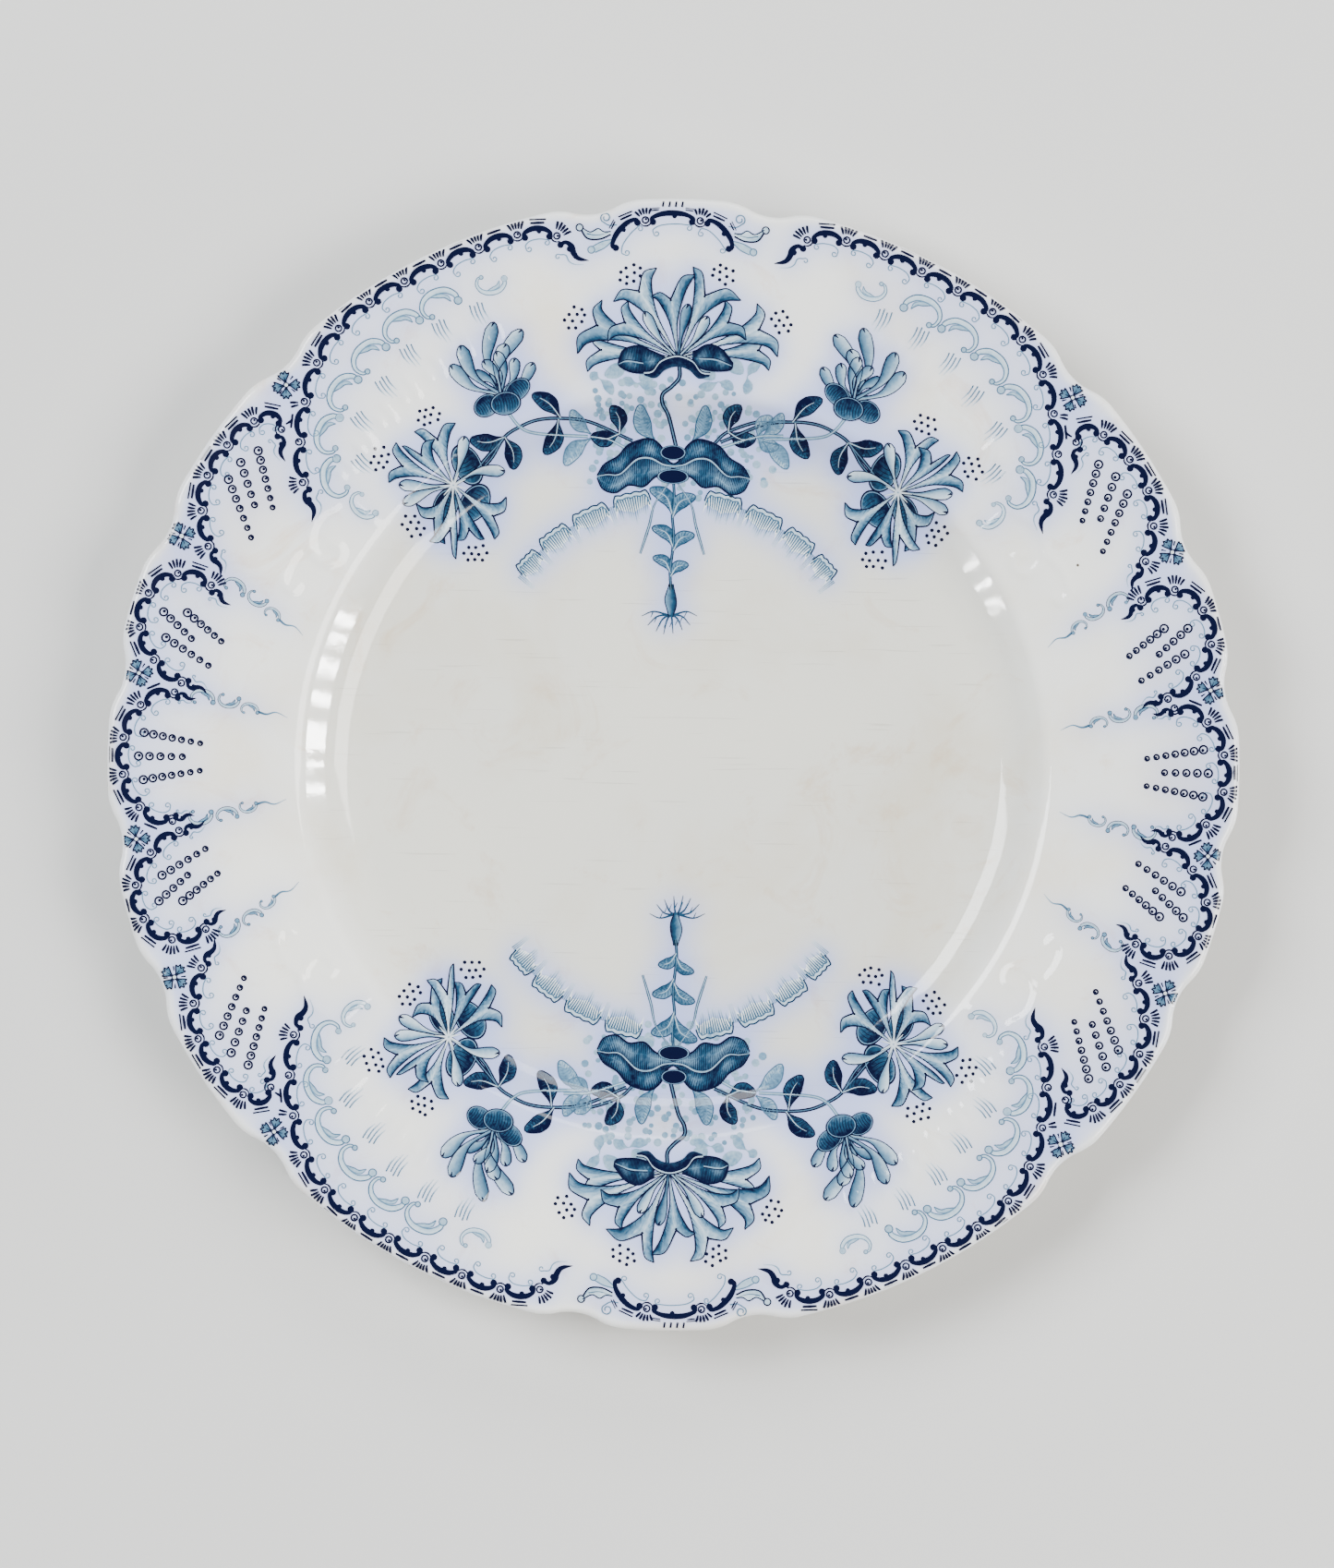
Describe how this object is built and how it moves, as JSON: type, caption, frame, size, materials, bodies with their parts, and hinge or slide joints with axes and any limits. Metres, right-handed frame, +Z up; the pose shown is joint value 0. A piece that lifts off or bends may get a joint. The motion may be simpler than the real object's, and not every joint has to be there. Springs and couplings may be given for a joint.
{
  "type": "dinner plate",
  "caption": "Round china dinner plate with a shallow-lobed rim, a flat well, a foot ring and blue printed scrollwork and flower sprays under a clear glaze.",
  "frame": {"origin": "centre of the foot ring, on the surface that the plate stands on", "axes": "+Z up out of the well; +Y from the centre towards one of the two flower sprays; +X towards one of the two sides with five scroll-edged lobes"},
  "size_m": [0.264, 0.264, 0.0228],
  "materials": {
    "earthenware": "fired, unglazed",
    "glaze": "clear gloss glaze, faintly blue",
    "print": "flowed cobalt blue print under the glaze"
  },
  "bodies": {
    "root": {"base_glaze": "glaze", "earthenware_body": "earthenware", "main_glaze": "glaze", "print_corner_north_east": "print", "print_corner_north_west": "print", "print_corner_south_east": "print", "print_corner_south_west": "print", "print_edge_north": "print", "print_edge_south": "print", "print_shells_north": "print", "print_shells_south": "print", "print_side_east": "print", "print_side_west": "print", "print_spray_north": "print", "print_spray_south": "print", "print_sprigs": "print"}
  },
  "joints": []
}
